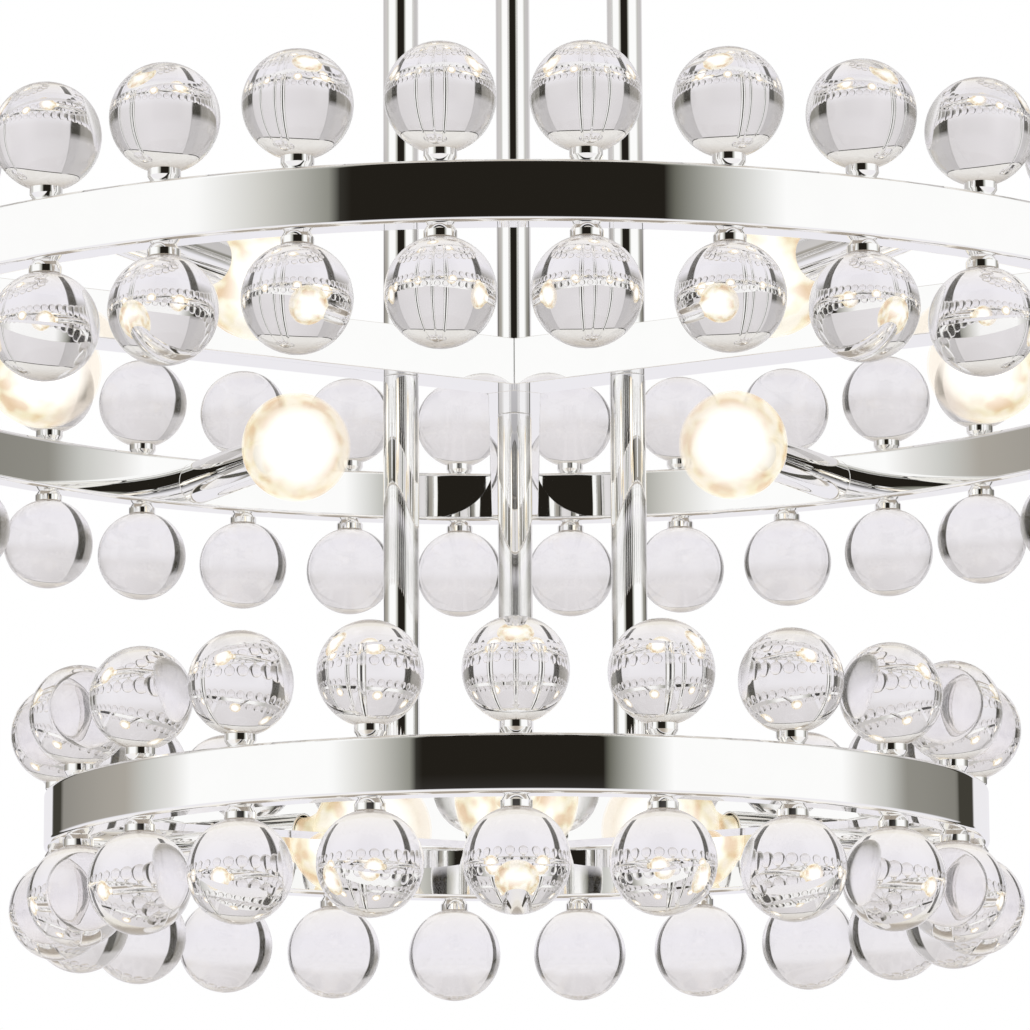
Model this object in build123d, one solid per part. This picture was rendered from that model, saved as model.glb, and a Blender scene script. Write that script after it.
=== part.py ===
from build123d import *
import math
import os

# A two-tier ring chandelier: polished tube rings carry rows of clear balls, three rods hang the
# rings from a ceiling canopy, and globe bulbs point inwards from the rings' inner faces.
# Sizes are in millimetres and angles in degrees. The origin is the middle of the ceiling face,
# +Z is up and the front is towards -Y. Angles turn about +Z from +X, so 90 is the back.

# Rings: rectangular tube, measured to the middle of the tube where the balls stand
upper_ring_radius = 370.0
lower_ring_radius = 229.0
ring_tube_height = 28.0
ring_tube_width = 16.0
ring_tube_wall = 2.0
ring_tube_corner = 2.0
upper_balls_per_row = 36
lower_balls_per_row = 21
ceiling_to_upper_ring = 480.0
ring_spacing = 235.0
ring_wire_hole = 8.0

# Balls and the turned standoffs that hold them off the ring
ball_diameter = 50.0
standoff_diameter = 15.0
standoff_foot_diameter = 11.5
standoff_flare = 2.8
standoff_height = 5.2
stud_diameter = 4.0
stud_depth_in_ball = 6.0
stud_depth_in_ring = 4.0

# Arms: flat tube, three to a ring, mitred together on the axis
arm_angles = {"back": 90.0, "left": 210.0, "right": 330.0}
arm_height = 24.0
arm_width = 27.0
arm_wall = 2.5
mitre_angle = 60.0

# Rods with the threaded nipples and lock nuts at their ends
rod_inside_plate = 14.0
rod_diameter = 18.0
nipple_diameter = 10.0
nipple_bore = 7.0
nipple_in_rod = 15.0
nipple_past_nut = 1.0
rod_nut_flats = 15.0
rod_nut_height = 4.0
seat_ring_diameter = 27.0
seat_ring_height = 5.0
seat_ring_edge = 2.0

# Canopy, its stiffening plate and the bar that screws to the ceiling box
canopy_diameter = 180.0
canopy_height = 28.0
canopy_wall = 1.5
canopy_edge = 10.0
plate_thickness = 3.0
crossbar_length = 120.0
crossbar_width = 25.0
crossbar_thickness = 3.0
crossbar_end_radius = 6.0
box_screw_spacing = 88.9
box_slot_length = 20.0
box_slot_width = 5.0
canopy_stud_spacing = 50.0
canopy_stud_diameter = 4.2
canopy_stud_past_canopy = 10.0
knob_diameter = 12.0
knob_height = 13.0
knob_edge = 4.0

# Sockets: a plated tube over a lampholder with a brass screw shell
socket_beside_arm = 30.0
socket_diameter = 24.0
socket_length = 80.0
socket_wall = 1.2
socket_back = 3.0
socket_lip = 0.5
socket_nipple_diameter = 8.0
socket_nipple_bore = 5.0
socket_nipple_in_stem = 10.0
socket_nut_flats = 13.0
socket_nut_height = 4.0
lampholder_diameter = 20.0
lampholder_length = 26.0
lampholder_recess = 2.0
stem_diameter = 12.0
screw_shell_diameter = 13.0
screw_shell_length = 17.0
screw_shell_wall = 0.4
contact_diameter = 6.0
contact_height = 2.2

# Bulbs: frosted globes on candelabra screw caps
globe_diameter = 60.0
glass_wall = 1.0
neck_diameter = 19.0
neck_length = 1.0
neck_blend = 20.0
cap_diameter = 11.8
cap_flange_height = 1.0
cap_tip_diameter = 4.4
cap_tip_height = 1.2
cap_cone_height = 2.3

# Wiring inside the tubes
wire_diameter = 2.6
wire_side_step = 1.6
wire_above_plate = 9.0

# Clearances, all measured on the radius
fit_gap = 0.05
screw_hole_gap = 0.3
bulb_gap = 0.3

# Places worked out from the sizes above
upper_mid = -ceiling_to_upper_ring
lower_mid = upper_mid - ring_spacing
ball_radius = ball_diameter / 2
ball_height = ring_tube_height / 2 + standoff_height + ball_radius
canopy_floor = -canopy_height + canopy_wall
plate_top = canopy_floor + plate_thickness
plate_radius = canopy_diameter / 2 - canopy_edge
rod_circle_radius = plate_radius - rod_inside_plate
front = -90.0
quarter_turn = 90.0
half_turn = 180.0
full_turn = 360.0


def upright(radius, height, base):
    """A cylinder on the Z axis that stands on z = base."""
    return Pos(0, 0, base + height / 2) * Cylinder(radius, height)


def tube(outer_radius, inner_radius, height, base):
    """A tube on the Z axis that stands on z = base."""
    return upright(outer_radius, height, base) - upright(inner_radius, height, base)


def hex_nut(flats, bore, height, base):
    """A hexagon nut on the Z axis that stands on z = base."""
    outline = RegularPolygon(flats / 2, 6, major_radius=False) - Circle(bore / 2)
    return Pos(0, 0, base) * extrude(outline, height)


def at(radius, angle, height):
    """The place at a radius and an angle round the axis, with local X pointing outwards."""
    return Pos(0, 0, height) * Rot(0, 0, angle) * Pos(radius, 0, 0)


def group(pieces):
    """Separate solids of one kind, kept together in one node."""
    return Compound(children=list(pieces))


def ball_angles(count, first):
    """Where the balls of one row stand."""
    return [first + full_turn / count * place for place in range(count)]


# The upper ring has a gap between balls at the front, the lower ring has a ball there
upper_ball_angles = ball_angles(upper_balls_per_row, front + half_turn / upper_balls_per_row)
lower_ball_angles = ball_angles(lower_balls_per_row, front)

# Two sockets stand beside each upper arm, and one stands midway between each two lower arms
beside_arm = (-socket_beside_arm, socket_beside_arm)
upper_socket_angles = [angle + step for angle in arm_angles.values() for step in beside_arm]
lower_socket_angles = [angle + half_turn for angle in arm_angles.values()]


def ring(radius, angles, socket_angles):
    """A rolled rectangular tube, drilled for ball studs, socket nipples and the feed wire."""
    inner = radius - ring_tube_width / 2
    outer = radius + ring_tube_width / 2
    hollow_height = ring_tube_height - 2 * ring_tube_wall
    section = Pos(radius, 0) * RectangleRounded(ring_tube_width, ring_tube_height, ring_tube_corner)
    band = revolve(Plane.XZ * section, Axis.Z)
    hollow = tube(outer - ring_tube_wall, inner + ring_tube_wall, hollow_height, -hollow_height / 2)
    stud_hole = Cylinder(stud_diameter / 2 + fit_gap, 2 * ring_tube_height)
    through_inner_wall = Pos(inner, 0, 0) * Rot(0, quarter_turn, 0)
    socket_hole = through_inner_wall * Cylinder(socket_nipple_diameter / 2 + fit_gap, ring_tube_width)
    wire_hole = through_inner_wall * Cylinder(ring_wire_hole / 2, ring_tube_width)
    holes = [at(radius, angle, 0) * stud_hole for angle in angles]
    holes += [Rot(0, 0, angle) * socket_hole for angle in socket_angles]
    holes += [Rot(0, 0, arm_angles["back"]) * wire_hole]
    return band - hollow - holes


def standoff():
    """A turned cup that flares from the ring to its ball, with a stud through it, upright on a ring."""
    foot = ring_tube_height / 2
    side = standoff_diameter / 2
    stud_low = foot - stud_depth_in_ring
    stud_high = ball_height - ball_radius + stud_depth_in_ball
    rim = ball_height - math.sqrt(ball_radius**2 - side**2)
    outline = Polyline(
        (0, foot),
        (standoff_foot_diameter / 2, foot),
        (side, foot + standoff_flare),
        (side, rim),
        (0, rim),
        close=True,
    )
    cup = revolve(Plane.XZ * make_face(outline), Axis.Z)
    cup -= Pos(0, 0, ball_height) * Sphere(ball_radius + fit_gap)
    return cup + upright(stud_diameter / 2, stud_high - stud_low, stud_low)


def ball():
    """A clear ball with a blind hole for its stud, in place above a ring."""
    hole_depth = stud_depth_in_ball + screw_hole_gap
    hole = upright(stud_diameter / 2 + fit_gap, 2 * hole_depth, ball_height - ball_radius - hole_depth)
    return Pos(0, 0, ball_height) * Sphere(ball_radius) - hole


def row(piece, radius, angles, mid, turned):
    """One row of a piece round a ring, upright above it or turned over below it."""
    tilt = Rot(half_turn, 0, 0) if turned else Rot(0, 0, 0)
    return group(at(radius, angle, mid) * tilt * piece for angle in angles)


def arm(ring_radius, rod_below):
    """A flat tube from the axis to a ring's inner face, with a mitred tip and nipple holes."""
    reach = ring_radius - ring_tube_width / 2 - fit_gap
    tangent = math.tan(math.radians(mitre_angle))
    half = arm_width / 2
    half_inside = half - arm_wall
    tip_inside = arm_wall / math.sin(math.radians(mitre_angle))
    shoulder_inside = tip_inside + half_inside / tangent
    outline = Polyline(
        (0, 0),
        (half / tangent, half),
        (ring_radius, half),
        (ring_radius, -half),
        (half / tangent, -half),
        close=True,
    )
    inside = Polyline(
        (tip_inside, 0),
        (shoulder_inside, half_inside),
        (ring_radius, half_inside),
        (ring_radius, -half_inside),
        (shoulder_inside, -half_inside),
        close=True,
    )
    bar = extrude(make_face(outline), arm_height / 2, both=True)
    bar -= extrude(make_face(inside), arm_height / 2 - arm_wall, both=True)
    bar &= Cylinder(reach, arm_height)
    nipple_hole = upright(nipple_diameter / 2 + fit_gap, arm_height, 0)
    bar -= Pos(rod_circle_radius, 0, 0) * nipple_hole
    if rod_below:
        bar -= Pos(rod_circle_radius, 0, -arm_height) * nipple_hole
    return bar


def rod(top, bottom):
    """A drawn tube between two heights, bored at both ends for the nipples."""
    return tube(rod_diameter / 2, nipple_diameter / 2 + fit_gap, top - bottom, bottom)


# Rod ends: each nipple reaches from inside a rod through a wall to its nut
nipple_past_arm_wall = arm_wall + rod_nut_height + nipple_past_nut
arm_top = arm_height / 2
upper_rod_top = -canopy_height
upper_rod_foot = upper_mid + arm_top
lower_rod_top = upper_mid - arm_top
lower_rod_foot = lower_mid + arm_top
canopy_nipple_length = nipple_in_rod + canopy_wall + plate_thickness + rod_nut_height + nipple_past_nut
arm_nipple_length = nipple_in_rod + nipple_past_arm_wall


def rod_nipples(angle):
    """The four threaded nipples on one rod line."""
    spans = [
        (upper_rod_top - nipple_in_rod, canopy_nipple_length),
        (upper_rod_foot - nipple_past_arm_wall, arm_nipple_length),
        (lower_rod_top - nipple_in_rod, arm_nipple_length),
        (lower_rod_foot - nipple_past_arm_wall, arm_nipple_length),
    ]
    place = at(rod_circle_radius, angle, 0)
    return [place * tube(nipple_diameter / 2, nipple_bore / 2, length, base) for base, length in spans]


def rod_nuts(angle):
    """The four lock nuts on one rod line: one in the canopy, three inside the arms."""
    bases = [
        plate_top,
        upper_rod_foot - arm_wall - rod_nut_height,
        lower_rod_top + arm_wall,
        lower_rod_foot - arm_wall - rod_nut_height,
    ]
    bore = nipple_diameter + 2 * fit_gap
    place = at(rod_circle_radius, angle, 0)
    return [place * hex_nut(rod_nut_flats, bore, rod_nut_height, base) for base in bases]


def seat_ring():
    """A rounded collar that hides the hole where a rod enters the canopy."""
    collar = tube(
        seat_ring_diameter / 2,
        rod_diameter / 2 + fit_gap,
        seat_ring_height,
        -canopy_height - seat_ring_height,
    )
    edge = collar.edges().filter_by(GeomType.CIRCLE).group_by(Axis.Z)[0].sort_by(SortBy.RADIUS)[-1]
    return fillet(edge, seat_ring_edge)


def canopy():
    """A spun dish, open at the ceiling, pierced for the rod nipples and the two canopy studs."""
    outside = upright(canopy_diameter / 2, canopy_height, -canopy_height)
    inside = upright(canopy_diameter / 2 - canopy_wall, canopy_height, canopy_floor)
    outside = fillet(outside.edges().group_by(Axis.Z)[0], canopy_edge)
    inside = fillet(inside.edges().group_by(Axis.Z)[0], canopy_edge - canopy_wall)
    return outside - inside - canopy_holes()


def canopy_holes():
    """The nipple and stud holes that pass through both the canopy and its plate."""
    depth = 2 * canopy_height
    nipple_hole = upright(nipple_diameter / 2 + screw_hole_gap, depth, -depth)
    stud_hole = upright(canopy_stud_diameter / 2 + screw_hole_gap, depth, -depth)
    holes = [at(rod_circle_radius, angle, 0) * nipple_hole for angle in arm_angles.values()]
    return holes + [Pos(side * canopy_stud_spacing / 2, 0, 0) * stud_hole for side in (-1, 1)]


def canopy_plate():
    """A steel disc on the canopy's floor that carries the rods' weight."""
    return upright(plate_radius, plate_thickness, canopy_floor) - canopy_holes()


def ceiling_crossbar():
    """A steel bar with two slots for the ceiling box's screws and two tapped holes."""
    outline = RectangleRounded(crossbar_length, crossbar_width, crossbar_end_radius)
    for side in (-1, 1):
        outline -= Pos(side * box_screw_spacing / 2, 0) * SlotOverall(box_slot_length, box_slot_width)
        outline -= Pos(side * canopy_stud_spacing / 2, 0) * Circle(canopy_stud_diameter / 2 + fit_gap)
    return Pos(0, 0, -crossbar_thickness) * extrude(outline, crossbar_thickness)


def canopy_stud():
    """A threaded stud from the crossbar down through the canopy."""
    length = canopy_height + canopy_stud_past_canopy
    return upright(canopy_stud_diameter / 2, length, -length)


def canopy_knob():
    """A rounded cap nut that holds the canopy up on its stud."""
    blank = upright(knob_diameter / 2, knob_height, -canopy_height - knob_height)
    blank = fillet(blank.edges().group_by(Axis.Z)[0], knob_edge)
    depth = canopy_stud_past_canopy + screw_hole_gap
    return blank - upright(canopy_stud_diameter / 2 + fit_gap, depth, -canopy_height - depth)


# Sockets and bulbs are made along local +Z, which points from the ring's inner face to the axis
holder_mouth = socket_length - lampholder_recess
holder_back = holder_mouth - lampholder_length
holder_floor = holder_mouth - lampholder_recess - screw_shell_length
cap_low = holder_floor + contact_height + bulb_gap
cap_high = holder_mouth + bulb_gap
glass_foot = cap_high + cap_flange_height
neck_end = glass_foot + neck_length
globe_centre = neck_end + math.sqrt(
    (globe_diameter / 2 + neck_blend) ** 2 - (neck_diameter / 2 + neck_blend) ** 2
)


def socket_seat(ring_radius):
    """The radius at which a socket tube's flat end meets a ring's curved inner face."""
    inner = ring_radius - ring_tube_width / 2
    return math.sqrt(inner**2 - (socket_diameter / 2) ** 2)


def socket_places(ring_radius, angles, mid):
    """Where the sockets of one ring sit, with local Z along each socket."""
    return [at(socket_seat(ring_radius), angle, mid) * Rot(0, -quarter_turn, 0) for angle in angles]


def socket_tube():
    """A drawn tube with a closed back and a small rolled lip at its mouth."""
    body = upright(socket_diameter / 2, socket_length, 0)
    body -= upright(socket_diameter / 2 - socket_wall, socket_length, socket_back)
    body -= upright(socket_nipple_diameter / 2 + fit_gap, 2 * socket_back, -socket_back)
    return fillet(body.edges().group_by(Axis.Z)[-1], socket_lip)


def wall_behind_seat(ring_radius):
    """How far behind a socket's seat the far side of the ring's inner wall lies."""
    return ring_radius - ring_tube_width / 2 + ring_tube_wall - socket_seat(ring_radius)


def socket_nipple(ring_radius):
    """A short threaded tube that clamps a socket to the ring and leads its wire through."""
    behind = wall_behind_seat(ring_radius) + socket_nut_height + nipple_past_nut
    length = behind + socket_back + socket_nipple_in_stem
    return tube(socket_nipple_diameter / 2, socket_nipple_bore / 2, length, -behind)


def socket_nut(ring_radius):
    """The nut on a socket nipple, inside the ring's tube."""
    base = -wall_behind_seat(ring_radius) - socket_nut_height
    bore = socket_nipple_diameter + 2 * fit_gap
    return hex_nut(socket_nut_flats, bore, socket_nut_height, base)


def lampholder():
    """A moulded holder on a long stem that stands on the socket's back wall."""
    stem = upright(stem_diameter / 2, holder_back - socket_back, socket_back)
    body = stem + upright(lampholder_diameter / 2, lampholder_length, holder_back)
    body -= upright(screw_shell_diameter / 2 + fit_gap, holder_mouth, holder_floor)
    body -= upright(socket_nipple_diameter / 2 + fit_gap, socket_nipple_in_stem, socket_back)
    return body - upright(socket_nipple_bore / 2, holder_back - socket_back, socket_back)


def screw_shell():
    """A thin brass cup that takes the bulb's cap, with its floor open round the contact."""
    inner = screw_shell_diameter / 2 - screw_shell_wall
    shell = upright(screw_shell_diameter / 2, screw_shell_length, holder_floor)
    shell -= upright(inner, screw_shell_length, holder_floor + screw_shell_wall)
    return shell - upright(contact_diameter / 2 + screw_hole_gap, screw_shell_length, holder_floor)


def centre_contact():
    """A brass button on the holder's floor."""
    return upright(contact_diameter / 2, contact_height, holder_floor)


def bulb_cap():
    """A candelabra screw cap, from its centre tip to the flange under the glass."""
    tip = cap_tip_diameter / 2
    side = cap_diameter / 2
    flange = neck_diameter / 2
    cone_low = cap_low + cap_tip_height
    outline = Polyline(
        (0, cap_low),
        (tip, cap_low),
        (tip, cone_low),
        (side, cone_low + cap_cone_height),
        (side, cap_high),
        (flange, cap_high),
        (flange, glass_foot),
        (0, glass_foot),
        close=True,
    )
    return revolve(Plane.XZ * make_face(outline), Axis.Z)


def globe_outline(inset):
    """Half of the globe and its neck, drawn inwards by inset, from the cap to the tip."""
    radius = globe_diameter / 2 - inset
    blend = neck_blend + inset
    neck = neck_diameter / 2 - inset
    blend_centre = Vector(neck + blend, neck_end)
    centre = Vector(0, globe_centre)
    lean = math.degrees(math.atan2(globe_centre - neck_end, neck + blend))

    def on_blend(angle):
        return blend_centre + Vector(blend, 0).rotate(Axis.Z, angle)

    def on_globe(angle):
        return centre + Vector(radius, 0).rotate(Axis.Z, angle)

    joint_angle = half_turn - lean
    straight = Line((neck, glass_foot), (neck, neck_end))
    fair = ThreePointArc((neck, neck_end), on_blend((half_turn + joint_angle) / 2), on_blend(joint_angle))
    bowl = ThreePointArc(on_globe(-lean), on_globe((quarter_turn - lean) / 2), on_globe(quarter_turn))
    return [straight, fair, bowl]


def bulb_glass():
    """A blown globe with a short neck that stands on its cap."""
    outer = globe_outline(0)
    inner = globe_outline(glass_wall)
    tip = Line(outer[-1] @ 1, inner[-1] @ 1)
    foot = Line(inner[0] @ 0, outer[0] @ 0)
    face = make_face(outer + [tip] + inner + [foot])
    return revolve(Plane.XZ * face, Axis.Z)


def wiring(ring_radius, mid, angles, side):
    """A ring's wires: a loop in its tube, a lead to each socket, and the feed up the back rod."""
    radius = wire_diameter / 2
    loop_radius = ring_radius + ring_tube_width / 2 - ring_tube_wall - wire_diameter
    loop = Pos(0, 0, mid) * Torus(loop_radius, radius)
    splice = loop_radius - radius - fit_gap
    behind = splice - socket_seat(ring_radius)
    lead = upright(radius, behind + holder_back, -behind)
    leads = [place * lead for place in socket_places(ring_radius, angles, mid)]
    rise = plate_top + wire_above_plate - mid
    along_arm = Rot(0, quarter_turn, 0) * upright(radius, splice - rod_circle_radius, 0)
    bend = along_arm + Sphere(radius) + upright(radius, rise, 0)
    feed = at(0, arm_angles["back"], mid) * Pos(rod_circle_radius, side * wire_side_step, 0) * bend
    return group([loop, feed] + leads)


def bulb_places():
    """Every bulb's place, upper ring first, counted round from the back arm."""
    upper = socket_places(upper_ring_radius, upper_socket_angles, upper_mid)
    return upper + socket_places(lower_ring_radius, lower_socket_angles, lower_mid)


nodes = {
    "ceiling_crossbar": ceiling_crossbar(),
    "canopy_studs": group(Pos(side * canopy_stud_spacing / 2, 0, 0) * canopy_stud() for side in (-1, 1)),
    "canopy": canopy(),
    "canopy_plate": canopy_plate(),
    "canopy_knobs": group(Pos(side * canopy_stud_spacing / 2, 0, 0) * canopy_knob() for side in (-1, 1)),
    "rod_seat_rings": group(at(rod_circle_radius, angle, 0) * seat_ring() for angle in arm_angles.values()),
    "rod_nipples": group(nipple for angle in arm_angles.values() for nipple in rod_nipples(angle)),
    "rod_lock_nuts": group(nut for angle in arm_angles.values() for nut in rod_nuts(angle)),
}

for name, angle in arm_angles.items():
    nodes["upper_rod_" + name] = at(rod_circle_radius, angle, 0) * rod(upper_rod_top, upper_rod_foot)
    nodes["lower_rod_" + name] = at(rod_circle_radius, angle, 0) * rod(lower_rod_top, lower_rod_foot)
    nodes["upper_arm_" + name] = at(0, angle, upper_mid) * arm(upper_ring_radius, True)
    nodes["lower_arm_" + name] = at(0, angle, lower_mid) * arm(lower_ring_radius, False)

tiers = {
    "upper": (upper_ring_radius, upper_mid, upper_ball_angles, upper_socket_angles, 1),
    "lower": (lower_ring_radius, lower_mid, lower_ball_angles, lower_socket_angles, -1),
}
for tier, (radius, mid, balls, sockets, wire_side) in tiers.items():
    places = socket_places(radius, sockets, mid)
    nodes[tier + "_ring"] = Pos(0, 0, mid) * ring(radius, balls, sockets)
    nodes[tier + "_top_standoffs"] = row(standoff(), radius, balls, mid, False)
    nodes[tier + "_bottom_standoffs"] = row(standoff(), radius, balls, mid, True)
    nodes[tier + "_top_balls"] = row(ball(), radius, balls, mid, False)
    nodes[tier + "_bottom_balls"] = row(ball(), radius, balls, mid, True)
    nodes[tier + "_socket_tubes"] = group(place * socket_tube() for place in places)
    nodes[tier + "_socket_nipples"] = group(place * socket_nipple(radius) for place in places)
    nodes[tier + "_socket_nuts"] = group(place * socket_nut(radius) for place in places)
    nodes[tier + "_lampholders"] = group(place * lampholder() for place in places)
    nodes[tier + "_wiring"] = wiring(radius, mid, sockets, wire_side)

nodes["screw_shells"] = group(place * screw_shell() for place in bulb_places())
nodes["centre_contacts"] = group(place * centre_contact() for place in bulb_places())
for number, place in enumerate(bulb_places(), start=1):
    nodes["bulb_glass_" + str(number)] = place * bulb_glass()
    nodes["bulb_cap_" + str(number)] = place * bulb_cap()

os.makedirs("parts", exist_ok=True)
for name, shape in nodes.items():
    export_step(shape, "parts/" + name + ".step")
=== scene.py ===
import math

import bmesh
import bpy
from mathutils import Matrix, Vector


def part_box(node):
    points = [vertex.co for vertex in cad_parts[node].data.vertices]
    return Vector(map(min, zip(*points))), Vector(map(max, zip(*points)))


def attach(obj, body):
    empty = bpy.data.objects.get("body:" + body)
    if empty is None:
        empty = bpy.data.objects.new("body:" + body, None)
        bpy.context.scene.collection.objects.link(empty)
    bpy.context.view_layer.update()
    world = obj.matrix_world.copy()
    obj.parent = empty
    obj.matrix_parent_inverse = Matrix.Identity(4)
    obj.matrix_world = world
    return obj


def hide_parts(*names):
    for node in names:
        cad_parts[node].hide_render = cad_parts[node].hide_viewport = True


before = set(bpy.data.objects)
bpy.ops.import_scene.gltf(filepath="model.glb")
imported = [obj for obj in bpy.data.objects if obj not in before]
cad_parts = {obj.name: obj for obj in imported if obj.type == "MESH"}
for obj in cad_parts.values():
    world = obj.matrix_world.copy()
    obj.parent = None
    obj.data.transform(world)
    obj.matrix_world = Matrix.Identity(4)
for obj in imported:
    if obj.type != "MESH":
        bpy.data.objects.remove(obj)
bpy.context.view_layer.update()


# Ceiling bar, canopy studs, canopy plate, nipples and nuts: the steel hardware that carries the weight.
# It is stamped, cut and barrel plated with zinc, and is hidden by the canopy, the arms and the rings.

def linear(colour):
    """An sRGB hex colour as the linear RGBA that shaders take."""
    shares = [int(colour[start:start + 2], 16) / 255 for start in (1, 3, 5)]
    return [s / 12.92 if s <= 0.04045 else ((s + 0.055) / 1.055) ** 2.4 for s in shares] + [1.0]


def add_node(tree, kind, settings, inputs):
    """Adds a node, sets its options, then sets each named input or links it to an output."""
    node = tree.nodes.new(kind)
    for name, value in settings.items():
        setattr(node, name, value)
    for name, value in inputs.items():
        if isinstance(value, bpy.types.NodeSocket):
            tree.links.new(value, node.inputs[name])
        else:
            node.inputs[name].default_value = value
    return node


def blank_material(name):
    """A material with an empty node tree."""
    material = bpy.data.materials.new(name)
    material.use_nodes = True
    material.node_tree.nodes.clear()
    return material


def zinc_plated_steel():
    """Barrel-plated zinc: dull silver with soft grey clouds, too fine-grained to mirror anything."""
    cloud_size = 0.007
    grit_size = 0.0008
    material = blank_material("zinc_plated_steel")
    tree = material.node_tree
    spot = add_node(tree, "ShaderNodeTexCoord", {}, {})
    cloud = add_node(tree, "ShaderNodeTexNoise", {}, {
        "Vector": spot.outputs["Object"], "Scale": 1 / cloud_size, "Detail": 4.0})
    grit = add_node(tree, "ShaderNodeTexNoise", {}, {
        "Vector": spot.outputs["Object"], "Scale": 1 / grit_size})
    tone = add_node(tree, "ShaderNodeMix", {"data_type": "RGBA"}, {
        0: cloud.outputs["Fac"], 6: linear("#a9adb2"), 7: linear("#d6d9dc")})
    dullness = add_node(tree, "ShaderNodeMapRange", {}, {
        "Value": cloud.outputs["Fac"], "To Min": 0.28, "To Max": 0.46})
    grain = add_node(tree, "ShaderNodeBump", {}, {
        "Height": grit.outputs["Fac"], "Strength": 0.25, "Distance": 0.00005})
    surface = add_node(tree, "ShaderNodeBsdfPrincipled", {}, {
        "Base Color": tone.outputs[2], "Metallic": 1.0, "Roughness": dullness.outputs["Result"],
        "Normal": grain.outputs["Normal"]})
    add_node(tree, "ShaderNodeOutputMaterial", {}, {"Surface": surface.outputs["BSDF"]})
    return material


def finish_node(node, material, edge=0.0):
    """Gives a CAD node its material and, if asked, breaks its sharp edges by that much."""
    seam = 0.00001
    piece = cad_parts[node]
    piece.data.materials.clear()
    piece.data.materials.append(material)
    if edge:
        weld = piece.modifiers.new("joined_faces", "WELD")
        weld.merge_threshold = seam
        bevel = piece.modifiers.new("broken_edges", "BEVEL")
        bevel.width = edge
        bevel.segments = 2
        bevel.harden_normals = True


tiers = ("upper", "lower")
zinc = zinc_plated_steel()
for node in ("ceiling_crossbar", "canopy_plate", "canopy_studs", "rod_nipples", "rod_lock_nuts"):
    finish_node(node, zinc)
for tier in tiers:
    finish_node(tier + "_socket_nipples", zinc)
    finish_node(tier + "_socket_nuts", zinc)


# Canopy, its two cap knobs and the rod seat rings: spun and turned brass under bright nickel plate.
# The dish covers the ceiling box, the knobs screw it up against the ceiling, and each seat ring
# closes the hole where a rod goes in.

def polished_nickel():
    """Bright nickel plate, buffed: a warm grey mirror with faint long waves and wiping marks."""
    wave_size = 0.055
    smear_size = 0.018
    material = blank_material("polished_nickel")
    tree = material.node_tree
    spot = add_node(tree, "ShaderNodeTexCoord", {}, {})
    wave = add_node(tree, "ShaderNodeTexNoise", {}, {
        "Vector": spot.outputs["Object"], "Scale": 1 / wave_size, "Detail": 1.0})
    smear = add_node(tree, "ShaderNodeTexNoise", {}, {
        "Vector": spot.outputs["Object"], "Scale": 1 / smear_size, "Detail": 5.0})
    tone = add_node(tree, "ShaderNodeMix", {"data_type": "RGBA"}, {
        0: smear.outputs["Fac"], 6: linear("#fafaf9"), 7: linear("#fdfdfc")})
    gloss = add_node(tree, "ShaderNodeMapRange", {}, {
        "Value": smear.outputs["Fac"], "From Min": 0.3, "From Max": 0.8, "To Min": 0.0, "To Max": 0.02})
    ripple = add_node(tree, "ShaderNodeBump", {}, {
        "Height": wave.outputs["Fac"], "Strength": 0.5, "Distance": 0.0001})
    surface = add_node(tree, "ShaderNodeBsdfPrincipled", {}, {
        "Base Color": tone.outputs[2], "Metallic": 1.0, "Roughness": gloss.outputs["Result"],
        "Normal": ripple.outputs["Normal"]})
    add_node(tree, "ShaderNodeOutputMaterial", {}, {"Surface": surface.outputs["BSDF"]})
    return material


nickel = polished_nickel()
for node in ("canopy", "canopy_knobs", "rod_seat_rings"):
    finish_node(node, nickel)


# Rods: drawn 18 mm tubes, plated all over, three above the upper ring and three between the rings.
# Each screws onto a nipple at both ends, so only the plain polished tube shows.

def soften(corners, radius):
    """A closed outline with every corner rounded, and a point close to each end of each round."""
    steps = 4
    beside_round = 0.0002
    outline = []
    for place, corner in enumerate(corners):
        corner = Vector(corner)
        back = (Vector(corners[place - 1]) - corner).normalized()
        on = (Vector(corners[(place + 1) % len(corners)]) - corner).normalized()
        half = back.angle(on) / 2
        reach = radius / math.tan(half)
        centre = corner + (back + on).normalized() * (radius / math.sin(half))
        outline.append(corner + back * (reach + beside_round))
        for step in range(steps + 1):
            share = step / steps
            edge = (corner + back * reach).lerp(corner + on * reach, share) - centre
            outline.append(centre + edge.normalized() * radius)
        outline.append(corner + on * (reach + beside_round))
    return outline


def spin(outline, segments, closed):
    """A mesh made by turning an outline of (radius, height) points about Z."""
    same_point = 0.0000001
    shape = bmesh.new()
    points = [shape.verts.new((radius, 0, height)) for radius, height in outline]
    ends = points[1:] + points[:1] if closed else points[1:]
    edges = [shape.edges.new(pair) for pair in zip(points, ends)]
    bmesh.ops.spin(shape, geom=points + edges, axis=(0, 0, 1), cent=(0, 0, 0),
                   steps=segments, angle=2 * math.pi, use_merge=True)
    bmesh.ops.remove_doubles(shape, verts=shape.verts, dist=same_point)
    bmesh.ops.recalc_face_normals(shape, faces=shape.faces)
    mesh = bpy.data.meshes.new("turned")
    shape.to_mesh(mesh)
    shape.free()
    mesh.shade_smooth()
    return mesh


def copies(mesh, places):
    """One mesh that holds a copy of another at each place."""
    joined = bmesh.new()
    for place in places:
        copy = mesh.copy()
        copy.transform(place)
        joined.from_mesh(copy)
        bpy.data.meshes.remove(copy)
    made = bpy.data.meshes.new("copies")
    joined.to_mesh(made)
    joined.free()
    made.shade_smooth()
    return made


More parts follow.
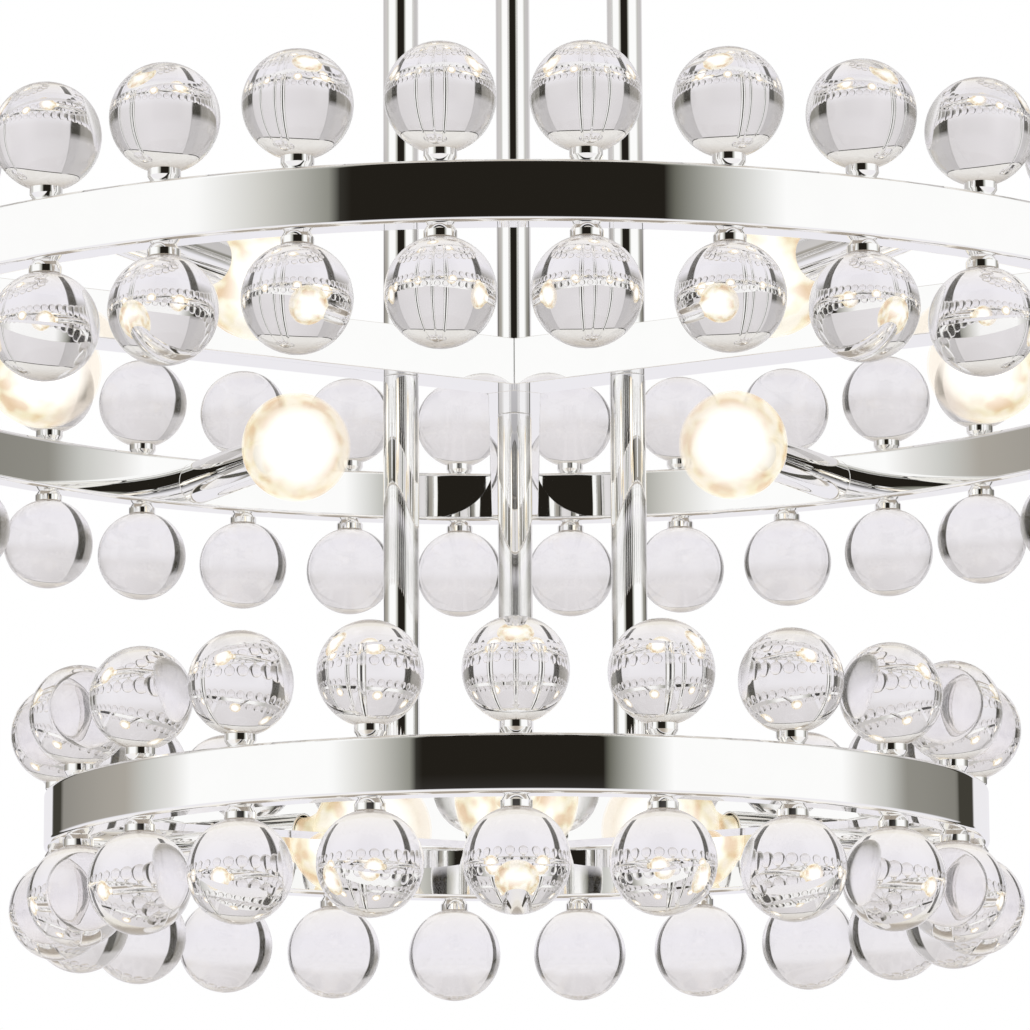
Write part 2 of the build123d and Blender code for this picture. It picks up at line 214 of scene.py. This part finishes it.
def add_piece(name, mesh, material, body, nodes, place=Matrix.Identity(4)):
    """Puts a mesh in the scene as a piece that rides on a body and stands for CAD nodes."""
    if not mesh.materials:
        mesh.materials.append(material)
    piece = bpy.data.objects.new(name, mesh)
    bpy.context.scene.collection.objects.link(piece)
    piece.matrix_world = place
    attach(piece, body)
    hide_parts(*nodes)


fixed = "chandelier_frame"
sides = ("back", "left", "right")
rod_bore = 0.0101
rod_edge = 0.0004
rod_segments = 96
for tier in tiers:
    for side in sides:
        node = tier + "_rod_" + side
        low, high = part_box(node)
        middle = (low + high) / 2
        radius = (high.x - low.x) / 2
        foot, head = low.z - middle.z, high.z - middle.z
        corners = [(radius, foot), (radius, head), (rod_bore / 2, head), (rod_bore / 2, foot)]
        tube = spin(soften(corners, rod_edge), rod_segments, True)
        tube.transform(Matrix.Translation(middle))
        add_piece(tier + "_rod_tube_" + side, tube, nickel, fixed, [node])


# Arms: flat rectangular tube, mitred together on the axis and butted to the ring's inner face.
# They are soldered, ground flush and plated with the ring, which leaves slightly broken edges.
arm_edge = 0.0005
for tier in tiers:
    for side in sides:
        finish_node(tier + "_arm_" + side, nickel, arm_edge)


# Rings: rectangular tube rolled to a circle, welded shut, linished and plated with bright nickel.
# The arms carry them, and the standoffs' studs and the sockets' nipples are screwed into them.
ring_tube_width = 0.016
ring_corner = 0.002
ring_segments = 480
for tier in tiers:
    low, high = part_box(tier + "_ring")
    outer = high.x
    inner = outer - ring_tube_width
    corners = [(outer, low.z), (outer, high.z), (inner, high.z), (inner, low.z)]
    band = spin(soften(corners, ring_corner), ring_segments, True)
    add_piece(tier + "_ring_band", band, nickel, fixed, [tier + "_ring"])


# Standoffs: small turned cups that hold the balls off the ring, one to a ball, plated to match.
# Each flares from the ring to a rim hollowed to fit the ball, and a hidden stud pins it all together.
standoff_radius = 0.0075
standoff_foot_radius = 0.00575
standoff_flare = 0.0028
standoff_height = 0.0052
standoff_edge = 0.0003
standoff_segments = 48
standoff_crease = math.radians(30)
ball_radius = 0.025
fit_gap = 0.00005
balls_per_row = {"upper": 36, "lower": 21}
front = -math.pi / 2


def row_places(tier, turned):
    """Where the standoffs of one row sit on their ring, upright above it or turned over below it."""
    low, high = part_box(tier + "_ring")
    count = balls_per_row[tier]
    step = 2 * math.pi / count
    first = front + (step / 2 if tier == "upper" else 0)
    height = low.z if turned else high.z
    tilt = Matrix.Rotation(math.pi, 4, "X") if turned else Matrix.Identity(4)
    seat = Matrix.Translation((high.x - ring_tube_width / 2, 0, height))
    return [Matrix.Rotation(first + step * place, 4, "Z") @ seat @ tilt for place in range(count)]


def cup_height(radius):
    """How high the standoff's cupped top is at a distance from its axis."""
    bowl = ball_radius + fit_gap
    return standoff_height + ball_radius - math.sqrt(bowl ** 2 - radius ** 2)


cup_steps = 8
cup_radius = standoff_radius - standoff_edge
cup = [cup_radius * (1 - step / cup_steps) for step in range(cup_steps + 1)]
standoff_outline = [
    (0, 0),
    (standoff_foot_radius, 0),
    (standoff_radius, standoff_flare),
    (standoff_radius, cup_height(cup_radius) - standoff_edge),
    *[(radius, cup_height(radius)) for radius in cup],
]
standoff = spin(standoff_outline, standoff_segments, False)
rows = (("top", False), ("bottom", True))
for tier in tiers:
    for row, turned in rows:
        collars = copies(standoff, row_places(tier, turned))
        collars.set_sharp_from_angle(angle=standoff_crease)
        add_piece(tier + "_" + row + "_collars", collars, nickel, fixed,
                  [tier + "_" + row + "_standoffs"])


# Balls: solid clear 50 mm balls, cast, turned and polished, each pinned down into the cup of its standoff.
# A ball works as a strong lens: it shows what is behind it upside down, squeezed towards its edge.

def clear_acrylic():
    """Polished cast acrylic: water clear, IOR 1.49, with a faint haze in places from the buffing."""
    haze_size = 0.009
    material = blank_material("clear_acrylic")
    tree = material.node_tree
    spot = add_node(tree, "ShaderNodeTexCoord", {}, {})
    haze = add_node(tree, "ShaderNodeTexNoise", {}, {
        "Vector": spot.outputs["Object"], "Scale": 1 / haze_size, "Detail": 2.0})
    polish = add_node(tree, "ShaderNodeMapRange", {}, {
        "Value": haze.outputs["Fac"], "From Min": 0.55, "From Max": 0.8, "To Min": 0.0, "To Max": 0.02})
    surface = add_node(tree, "ShaderNodeBsdfPrincipled", {}, {
        "Base Color": linear("#fdfcfc"), "Roughness": polish.outputs["Result"], "IOR": 1.49,
        "Transmission Weight": 1.0})
    add_node(tree, "ShaderNodeOutputMaterial", {}, {"Surface": surface.outputs["BSDF"]})
    return material


acrylic = clear_acrylic()
ball_centre = standoff_height + ball_radius
ball_steps = 36
ball_segments = 64
arc = [math.pi * step / ball_steps for step in range(ball_steps + 1)]
ball_outline = [
    (ball_radius * math.sin(angle), ball_centre - ball_radius * math.cos(angle))
    for angle in arc
]
ball = spin(ball_outline, ball_segments, False)
for tier in tiers:
    for row, turned in rows:
        beads = copies(ball, row_places(tier, turned))
        add_piece(tier + "_" + row + "_clear_balls", beads, acrylic, fixed,
                  [tier + "_" + row + "_balls"])


# Socket tubes: drawn nickel-plated tubes that point at the axis and hide the lampholders.
# Each is clamped to its ring's inner face by a nipple, and its mouth is rolled to a soft lip.
socket_diameter = 0.024
socket_length = 0.080
socket_wall = 0.0012
socket_back = 0.003
socket_lip = 0.0005
socket_segments = 96
nipple_hole = 0.0081
sockets = {
    "upper": [math.radians(angle) for angle in (60, 120, 180, 240, 300, 360)],
    "lower": [math.radians(angle) for angle in (270, 30, 150)],
}


def socket_places(tier):
    """Where a ring's sockets sit, with local Z pointing from its inner face to the axis."""
    low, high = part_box(tier + "_ring")
    inner = high.x - ring_tube_width
    seat = math.sqrt(inner ** 2 - (socket_diameter / 2) ** 2)
    inwards = Matrix.Translation((seat, 0, (low.z + high.z) / 2)) @ Matrix.Rotation(-math.pi / 2, 4, "Y")
    return [Matrix.Rotation(angle, 4, "Z") @ inwards for angle in sockets[tier]]


socket_bore = socket_diameter / 2 - socket_wall
socket_corners = [
    (socket_diameter / 2, 0),
    (socket_diameter / 2, socket_length),
    (socket_bore, socket_length),
    (socket_bore, socket_back),
    (nipple_hole / 2, socket_back),
    (nipple_hole / 2, 0),
]
socket = spin(soften(socket_corners, socket_lip), socket_segments, True)
for tier in tiers:
    tubes = copies(socket, socket_places(tier))
    add_piece(tier + "_socket_sleeves", tubes, nickel, fixed, [tier + "_socket_tubes"])


# Lampholders, screw shells, contacts and wiring: moulded white phenolic holders on stems, with pressed
# brass inside and PVC-covered wires behind them. Only the holders' rims show, past the bulbs' necks.

def white_phenolic():
    """Compression-moulded phenolic: off-white, hard and softly glossy, with a faint mottle."""
    mottle_size = 0.004
    material = blank_material("white_phenolic")
    tree = material.node_tree
    spot = add_node(tree, "ShaderNodeTexCoord", {}, {})
    mottle = add_node(tree, "ShaderNodeTexNoise", {}, {
        "Vector": spot.outputs["Object"], "Scale": 1 / mottle_size, "Detail": 3.0})
    tone = add_node(tree, "ShaderNodeMix", {"data_type": "RGBA"}, {
        0: mottle.outputs["Fac"], 6: linear("#ddd8cb"), 7: linear("#ece8dd")})
    skin = add_node(tree, "ShaderNodeBump", {}, {
        "Height": mottle.outputs["Fac"], "Strength": 0.2, "Distance": 0.0001})
    surface = add_node(tree, "ShaderNodeBsdfPrincipled", {}, {
        "Base Color": tone.outputs[2], "Roughness": 0.38, "IOR": 1.6, "Normal": skin.outputs["Normal"]})
    add_node(tree, "ShaderNodeOutputMaterial", {}, {"Surface": surface.outputs["BSDF"]})
    return material


def pressed_brass():
    """Bare brass strip after pressing: yellow, half bright, with tarnish in patches."""
    tarnish_size = 0.005
    material = blank_material("pressed_brass")
    tree = material.node_tree
    spot = add_node(tree, "ShaderNodeTexCoord", {}, {})
    tarnish = add_node(tree, "ShaderNodeTexNoise", {}, {
        "Vector": spot.outputs["Object"], "Scale": 1 / tarnish_size, "Detail": 4.0})
    tone = add_node(tree, "ShaderNodeMix", {"data_type": "RGBA"}, {
        0: tarnish.outputs["Fac"], 6: linear("#b98f45"), 7: linear("#e2c27c")})
    dullness = add_node(tree, "ShaderNodeMapRange", {}, {
        "Value": tarnish.outputs["Fac"], "To Min": 0.38, "To Max": 0.2})
    surface = add_node(tree, "ShaderNodeBsdfPrincipled", {}, {
        "Base Color": tone.outputs[2], "Metallic": 1.0, "Roughness": dullness.outputs["Result"]})
    add_node(tree, "ShaderNodeOutputMaterial", {}, {"Surface": surface.outputs["BSDF"]})
    return material


def wire_pvc():
    """Extruded PVC insulation: matt ivory with faint rubbed marks along its length."""
    rub_size = 0.012
    material = blank_material("wire_pvc")
    tree = material.node_tree
    spot = add_node(tree, "ShaderNodeTexCoord", {}, {})
    rub = add_node(tree, "ShaderNodeTexNoise", {}, {
        "Vector": spot.outputs["Object"], "Scale": 1 / rub_size, "Detail": 3.0})
    tone = add_node(tree, "ShaderNodeMix", {"data_type": "RGBA"}, {
        0: rub.outputs["Fac"], 6: linear("#d9d6cd"), 7: linear("#eae8e1")})
    surface = add_node(tree, "ShaderNodeBsdfPrincipled", {}, {
        "Base Color": tone.outputs[2], "Roughness": 0.55, "IOR": 1.53})
    add_node(tree, "ShaderNodeOutputMaterial", {}, {"Surface": surface.outputs["BSDF"]})
    return material


phenolic = white_phenolic()
brass = pressed_brass()
pvc = wire_pvc()
for tier in tiers:
    finish_node(tier + "_lampholders", phenolic)
    finish_node(tier + "_wiring", pvc)
finish_node("screw_shells", brass)
finish_node("centre_contacts", brass)


# Bulb caps: rolled aluminium screw caps with a solder tip, pinched onto the globes' necks.
# The thread is the candelabra one, ten turns to the inch, and screws into the brass shell.
cap_radius = 0.0059
cap_flange_radius = 0.0095
cap_flange_height = 0.001
cap_low = 0.0615
cap_high = 0.0783
cap_tip_radius = 0.0022
cap_tip_height = 0.0012
cap_cone_height = 0.0023
thread_pitch = 0.00254
thread_depth = 0.0006
cap_crease = math.radians(50)


def rolled_aluminium():
    """Thin rolled aluminium: pale grey, brushed by the thread rolls, with fine drawn lines."""
    line_size = 0.0009
    material = blank_material("rolled_aluminium")
    tree = material.node_tree
    spot = add_node(tree, "ShaderNodeTexCoord", {}, {})
    lines = add_node(tree, "ShaderNodeTexNoise", {}, {
        "Vector": spot.outputs["Object"], "Scale": 1 / line_size, "Detail": 2.0})
    tone = add_node(tree, "ShaderNodeMix", {"data_type": "RGBA"}, {
        0: lines.outputs["Fac"], 6: linear("#b6b7b8"), 7: linear("#d9dadb")})
    dullness = add_node(tree, "ShaderNodeMapRange", {}, {
        "Value": lines.outputs["Fac"], "To Min": 0.25, "To Max": 0.4})
    surface = add_node(tree, "ShaderNodeBsdfPrincipled", {}, {
        "Base Color": tone.outputs[2], "Metallic": 1.0, "Roughness": dullness.outputs["Result"]})
    add_node(tree, "ShaderNodeOutputMaterial", {}, {"Surface": surface.outputs["BSDF"]})
    return material


def threaded_cap():
    """A screw cap: the solder tip, its insulating cone, a rolled thread and the flange under the glass."""
    segments = 40
    rows_per_turn = 10
    cone_low = cap_low + cap_tip_height
    thread_low = cone_low + cap_cone_height
    rows = round((cap_high - thread_low) / thread_pitch * rows_per_turn)
    outline = [(0, cap_low), (cap_tip_radius, cap_low), (cap_tip_radius, cone_low)]
    outline += [(cap_radius, thread_low + (cap_high - thread_low) * row / rows) for row in range(rows + 1)]
    flange_top = cap_high + cap_flange_height
    outline += [(cap_flange_radius, cap_high), (cap_flange_radius, flange_top), (0, flange_top)]
    mesh = spin(outline, segments, False)
    for vertex in mesh.vertices:
        x, y, z = vertex.co
        on_thread = thread_low < z < cap_high - thread_pitch / 2 and math.hypot(x, y) > cap_tip_radius
        if on_thread:
            turn = z / thread_pitch - math.atan2(y, x) / (2 * math.pi)
            groove = thread_depth / 2 * (1 + math.cos(2 * math.pi * turn))
            shrink = 1 - groove / cap_radius
            vertex.co = (x * shrink, y * shrink, z)
    mesh.set_sharp_from_angle(angle=cap_crease)
    return mesh


bulb_places = socket_places("upper") + socket_places("lower")
aluminium = rolled_aluminium()
cap = threaded_cap()
for number, place in enumerate(bulb_places, start=1):
    add_piece("bulb_screw_cap_" + str(number), cap, aluminium, "bulb_" + str(number),
              ["bulb_cap_" + str(number)], place)


# Bulb globes: blown soda glass, etched white inside, pinched into the caps and lit from within.
# The lamp makes the middle white hot, and the glass turns creamy and clearer towards its edge.
globe_radius = 0.030
neck_radius = 0.0095
neck_blend = 0.020
glass_foot = cap_high + cap_flange_height
neck_length = 0.001
neck_end = glass_foot + neck_length
globe_centre = neck_end + math.sqrt((globe_radius + neck_blend) ** 2 - (neck_radius + neck_blend) ** 2)
glass_wall = 0.001
globe_segments = 72


def lit_frosted_glass():
    """Etched globe glass with the lamp on: white hot, cloudy tan at its foot and clearer at its edge."""
    cloud_size = 0.011
    material = blank_material("lit_frosted_glass")
    tree = material.node_tree
    spot = add_node(tree, "ShaderNodeTexCoord", {}, {})
    along = add_node(tree, "ShaderNodeSeparateXYZ", {}, {"Vector": spot.outputs["Object"]})
    cloud = add_node(tree, "ShaderNodeTexNoise", {}, {
        "Vector": spot.outputs["Object"], "Scale": 1 / cloud_size, "Detail": 1.0})
    reach = add_node(tree, "ShaderNodeMapRange", {}, {
        "Value": along.outputs["Z"], "From Min": glass_foot, "From Max": globe_centre + globe_radius})
    patches = add_node(tree, "ShaderNodeValToRGB", {}, {"Fac": cloud.outputs["Fac"]})
    tan, cream = patches.color_ramp.elements
    tan.position = 0.38
    tan.color = linear("#dcba90")
    cream.position = 0.6
    cream.color = linear("#faf5e8")
    patches.color_ramp.elements.new(0.48).color = linear("#efe6c2")
    edge = add_node(tree, "ShaderNodeLayerWeight", {}, {"Blend": 0.5})
    away = add_node(tree, "ShaderNodeMapRange", {}, {
        "Value": reach.outputs["Result"], "From Min": 0.6, "From Max": 0.85})
    haze = add_node(tree, "ShaderNodeMix", {"data_type": "RGBA"}, {
        0: away.outputs["Result"], 6: patches.outputs["Color"], 7: linear("#f8f1e8")})
    heat = add_node(tree, "ShaderNodeMapRange", {}, {
        "Value": edge.outputs["Facing"], "From Min": 0.42, "From Max": 0.0})
    glow = add_node(tree, "ShaderNodeMix", {"data_type": "RGBA"}, {
        0: heat.outputs["Result"], 6: haze.outputs[2], 7: linear("#fffefb")})
    brightness = add_node(tree, "ShaderNodeMapRange", {}, {
        "Value": heat.outputs["Result"], "To Min": 0.95, "To Max": 1.3})
    surface = add_node(tree, "ShaderNodeBsdfPrincipled", {}, {
        "Base Color": linear("#3a3834"), "Roughness": 0.35, "IOR": 1.52,
        "Emission Color": glow.outputs[2], "Emission Strength": brightness.outputs["Result"]})
    clear = add_node(tree, "ShaderNodeBsdfTransparent", {}, {"Color": linear("#fffdfa")})
    thin = add_node(tree, "ShaderNodeMapRange", {}, {
        "Value": edge.outputs["Facing"], "From Min": 0.05, "From Max": 0.45, "To Max": 0.9})
    etched = add_node(tree, "ShaderNodeMapRange", {}, {
        "Value": reach.outputs["Result"], "From Min": 0.5, "From Max": 0.8, "To Min": 0.55})
    sheer = add_node(tree, "ShaderNodeMath", {"operation": "MULTIPLY"}, {
        0: thin.outputs["Result"], 1: etched.outputs["Result"]})
    mixed = add_node(tree, "ShaderNodeMixShader", {}, {
        0: sheer.outputs["Value"], 1: surface.outputs["BSDF"], 2: clear.outputs["BSDF"]})
    add_node(tree, "ShaderNodeOutputMaterial", {}, {"Surface": mixed.outputs["Shader"]})
    return material


def globe_side(inset):
    """Half of the globe and its neck, drawn inwards by inset, from the cap to the tip."""
    steps = 12
    lean = math.atan2(globe_centre - neck_end, neck_radius + neck_blend)
    blend = neck_blend + inset
    bowl = globe_radius - inset
    side = [(neck_radius - inset, glass_foot)]
    for step in range(steps + 1):
        angle = math.pi - lean * step / steps
        side.append((neck_radius + neck_blend + blend * math.cos(angle), neck_end + blend * math.sin(angle)))
    for step in range(1, 3 * steps + 1):
        angle = -lean + (math.pi / 2 + lean) * step / (3 * steps)
        side.append((bowl * math.cos(angle), globe_centre + bowl * math.sin(angle)))
    return side


globe = spin(globe_side(0) + globe_side(glass_wall)[::-1], globe_segments, True)
frosted = lit_frosted_glass()
for number, place in enumerate(bulb_places, start=1):
    add_piece("bulb_globe_" + str(number), globe, frosted, "bulb_" + str(number),
              ["bulb_glass_" + str(number)], place)


# Studio: a pale floor and a round white tent, dark where it opens towards the camera, with a dark flag
# on each side of its back wall and a pale apron low behind the object.
# It shows only in the metal and the glass: the camera itself sees plain white.
floor_height = -4.5
floor_lift = 0.6
floor_reach = 60.0
tent_radius = 1.2
tent_segments = 180
tent_low = -1.9
tent_high = 0.91
flag_top = -0.06
flag_fade = 0.12
flag_thinning = 0.75
cloth_share = 0.9
apron_top = -0.28
apron_fade = 0.14
apron_front = 0.7 * tent_radius
apron_edge = 0.01 * tent_radius
# Degrees round from the camera's side, the tone there, and how far it belongs to the flags.
wall_tones = [
    (-180, "#e6e3e5", 0.0),
    (-143, "#dcd9da", 0.0),
    (-142, "#403e37", 1.0),
    (-133, "#403e37", 1.0),
    (-131.5, "#8f8c86", cloth_share),
    (-98, "#aca79f", cloth_share),
    (-90, "#cacac6", 0.0),
    (-82, "#e5e4e2", 0.0),
    (-76, "#ffffff", 0.0),
    (-40, "#ffffff", 0.0),
    (-30.5, "#d0cfca", 0.0),
    (-22.3, "#8e8e86", 0.0),
    (-21, "#221f1a", 0.0),
    (18.5, "#221f1a", 0.0),
    (19.8, "#6d6d64", 0.0),
    (25, "#b6b6b0", 0.0),
    (33.5, "#ffffff", 0.0),
    (76, "#ffffff", 0.0),
    (82, "#e5e4e2", 0.0),
    (90, "#cacac6", 0.0),
    (98, "#918f88", cloth_share),
    (122, "#84827b", cloth_share),
    (123.5, "#403e37", 1.0),
    (134, "#403e37", 1.0),
    (135, "#dcd9da", 0.0),
    (180, "#e6e3e5", 0.0),
]
# Height, the tone there, and how far it covers the cloth.
foot_and_head_tones = [
    (tent_low, "#fbf8f4", 1.0),
    (-0.86, "#eeecf2", 1.0),
    (-0.6, "#eeecf0", 0.0),
    (0.86, "#e0dedc", 0.0),
    (0.87, "#3a3834", 1.0),
    (tent_high, "#3a3834", 1.0),
]
# Degrees above the horizon, and the tone there.
sky_tones = [
    (-90, "#a0968b"),
    (-56, "#b0a69a"),
    (-50, "#f4efe6"),
    (-34, "#f8f5ee"),
    (50, "#f0eeea"),
    (64, "#d8d2ca"),
    (90, "#b0a79c"),
]


def tent_cloth():
    """The tent's lit cloth: its tones round the object, and a pale foot, an apron and a dark hoop."""
    material = blank_material("tent_cloth")
    tree = material.node_tree
    spot = add_node(tree, "ShaderNodeTexCoord", {}, {})
    axes = add_node(tree, "ShaderNodeSeparateXYZ", {}, {"Vector": spot.outputs["Object"]})
    forward = add_node(tree, "ShaderNodeMath", {"operation": "MULTIPLY"}, {0: axes.outputs["Y"], 1: -1.0})
    bearing = add_node(tree, "ShaderNodeMath", {"operation": "ARCTAN2"}, {
        0: axes.outputs["X"], 1: forward.outputs["Value"]})
    turn = add_node(tree, "ShaderNodeMapRange", {}, {
        "Value": bearing.outputs["Value"], "From Min": -math.pi, "From Max": math.pi})
    walls = add_node(tree, "ShaderNodeValToRGB", {}, {"Fac": turn.outputs["Result"]})
    climb = add_node(tree, "ShaderNodeMapRange", {}, {
        "Value": axes.outputs["Z"], "From Min": tent_low, "From Max": tent_high})
    ends = add_node(tree, "ShaderNodeValToRGB", {}, {"Fac": climb.outputs["Result"]})
    for ramp, start, stop, tones in ((walls, -180, 180, wall_tones),
                                     (ends, tent_low, tent_high, foot_and_head_tones)):
        stops = ramp.color_ramp.elements
        for place, tone, share in tones[1:-1]:
            stops.new((place - start) / (stop - start)).color = linear(tone)[:3] + [share]
        for end in (0, -1):
            stops[end].color = linear(tones[end][1])[:3] + [tones[end][2]]
    gauze = add_node(tree, "ShaderNodeMapRange", {}, {
        "Value": axes.outputs["Z"], "From Min": flag_top - flag_fade, "From Max": flag_top,
        "To Max": flag_thinning})
    thinned = add_node(tree, "ShaderNodeMath", {"operation": "MULTIPLY"}, {
        0: walls.outputs["Alpha"], 1: gauze.outputs["Result"]})
    flagged = add_node(tree, "ShaderNodeMix", {"data_type": "RGBA"}, {
        0: thinned.outputs["Value"], 6: walls.outputs["Color"], 7: linear("#dcd9da")})
    unflagged = add_node(tree, "ShaderNodeMapRange", {}, {
        "Value": walls.outputs["Alpha"], "From Min": cloth_share, "To Min": 1.0, "To Max": 0.0})
    behind = add_node(tree, "ShaderNodeMapRange", {}, {
        "Value": axes.outputs["Y"], "From Min": apron_front, "From Max": apron_front + apron_edge})
    hanging = add_node(tree, "ShaderNodeMapRange", {}, {
        "Value": axes.outputs["Z"], "From Min": apron_top, "From Max": apron_top - apron_fade})
    apron = add_node(tree, "ShaderNodeMath", {"operation": "MULTIPLY"}, {
        0: behind.outputs["Result"], 1: hanging.outputs["Result"]})
    pale = add_node(tree, "ShaderNodeMath", {"operation": "MAXIMUM"}, {
        0: ends.outputs["Alpha"], 1: apron.outputs["Value"]})
    cover = add_node(tree, "ShaderNodeMath", {"operation": "MULTIPLY"}, {
        0: pale.outputs["Value"], 1: unflagged.outputs["Result"]})
    cloth = add_node(tree, "ShaderNodeMix", {"data_type": "RGBA"}, {
        0: cover.outputs["Value"], 6: flagged.outputs[2], 7: ends.outputs["Color"]})
    glow = add_node(tree, "ShaderNodeEmission", {}, {"Color": cloth.outputs[2], "Strength": 1.0})
    add_node(tree, "ShaderNodeOutputMaterial", {}, {"Surface": glow.outputs["Emission"]})
    return material


def studio_room():
    """The world: plain white to the camera, and the room above and below the tent to everything else."""
    world = bpy.data.worlds.new("studio_room")
    world.use_nodes = True
    tree = world.node_tree
    tree.nodes.clear()
    way = add_node(tree, "ShaderNodeTexCoord", {}, {})
    axes = add_node(tree, "ShaderNodeSeparateXYZ", {}, {"Vector": way.outputs["Generated"]})
    rise = add_node(tree, "ShaderNodeMath", {"operation": "ARCSINE"}, {0: axes.outputs["Z"]})
    climb = add_node(tree, "ShaderNodeMapRange", {}, {
        "Value": rise.outputs["Value"], "From Min": -math.pi / 2, "From Max": math.pi / 2})
    room = add_node(tree, "ShaderNodeValToRGB", {}, {"Fac": climb.outputs["Result"]})
    stops = room.color_ramp.elements
    for degrees, tone in sky_tones[1:-1]:
        stops.new((degrees + 90) / 180).color = linear(tone)
    for end in (0, -1):
        stops[end].color = linear(sky_tones[end][1])
    rays = add_node(tree, "ShaderNodeLightPath", {}, {})
    seen = add_node(tree, "ShaderNodeMix", {"data_type": "RGBA"}, {
        0: rays.outputs["Is Camera Ray"], 6: room.outputs["Color"], 7: linear("#ffffff")})
    light = add_node(tree, "ShaderNodeBackground", {}, {"Color": seen.outputs[2], "Strength": 1.0})
    add_node(tree, "ShaderNodeOutputWorld", {}, {"Surface": light.outputs["Background"]})
    return world


def painted_floor():
    """Matt pale paint with a trace of lavender, near white to the camera and still shaded by the object."""
    material = blank_material("painted_floor")
    tree = material.node_tree
    paint = add_node(tree, "ShaderNodeBsdfDiffuse", {}, {"Color": linear("#f3f1fb")})
    white = add_node(tree, "ShaderNodeEmission", {}, {"Color": linear("#ffffff"), "Strength": 1.0})
    rays = add_node(tree, "ShaderNodeLightPath", {}, {})
    lift = add_node(tree, "ShaderNodeMath", {"operation": "MULTIPLY"}, {
        0: rays.outputs["Is Camera Ray"], 1: floor_lift})
    mixed = add_node(tree, "ShaderNodeMixShader", {}, {
        0: lift.outputs["Value"], 1: paint.outputs["BSDF"], 2: white.outputs["Emission"]})
    add_node(tree, "ShaderNodeOutputMaterial", {}, {"Surface": mixed.outputs["Shader"]})
    return material


def add_stage(name, shape, material):
    """Puts a piece of the studio in the scene."""
    mesh = bpy.data.meshes.new(name)
    shape.to_mesh(mesh)
    shape.free()
    mesh.materials.append(material)
    piece = bpy.data.objects.new(name, mesh)
    bpy.context.scene.collection.objects.link(piece)
    return piece


bpy.context.scene.world = studio_room()
sheet = bmesh.new()
bmesh.ops.create_grid(sheet, x_segments=1, y_segments=1, size=floor_reach,
                      matrix=Matrix.Translation((0, 0, floor_height)))
floor = add_stage("studio_floor", sheet, painted_floor())
floor.visible_glossy = False
floor.visible_transmission = False
drum = bmesh.new()
bmesh.ops.create_cone(drum, cap_ends=False, segments=tent_segments, radius1=tent_radius,
                      radius2=tent_radius, depth=tent_high - tent_low,
                      matrix=Matrix.Translation((0, 0, (tent_high + tent_low) / 2)))
tent = add_stage("studio_tent", drum, tent_cloth())
tent.visible_camera = False


# Camera: a long lens, straight in front of the object and below it, tipped up as in the photograph,
# which is 1030 pixels square.
camera_distance = 2.573
camera_below_upper_ring = 0.5455
camera_pitch = 0.1802
camera_roll = -0.0051
camera_lens = 179.6
camera_sensor = 36
camera_sight = 200
upper_low, upper_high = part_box("upper_ring")
camera_data = bpy.data.cameras.new("camera")
camera_data.lens = camera_lens
camera_data.sensor_width = camera_sensor
camera_data.clip_end = camera_sight
camera = bpy.data.objects.new("camera", camera_data)
bpy.context.scene.collection.objects.link(camera)
eye = Vector((0, -camera_distance, (upper_low.z + upper_high.z) / 2 - camera_below_upper_ring))
aim = Matrix.Rotation(math.pi / 2 + camera_pitch, 4, "X") @ Matrix.Rotation(camera_roll, 4, "Z")
camera.matrix_world = Matrix.Translation(eye) @ aim
bpy.context.scene.camera = camera
bpy.context.scene.view_settings.view_transform = "Standard"
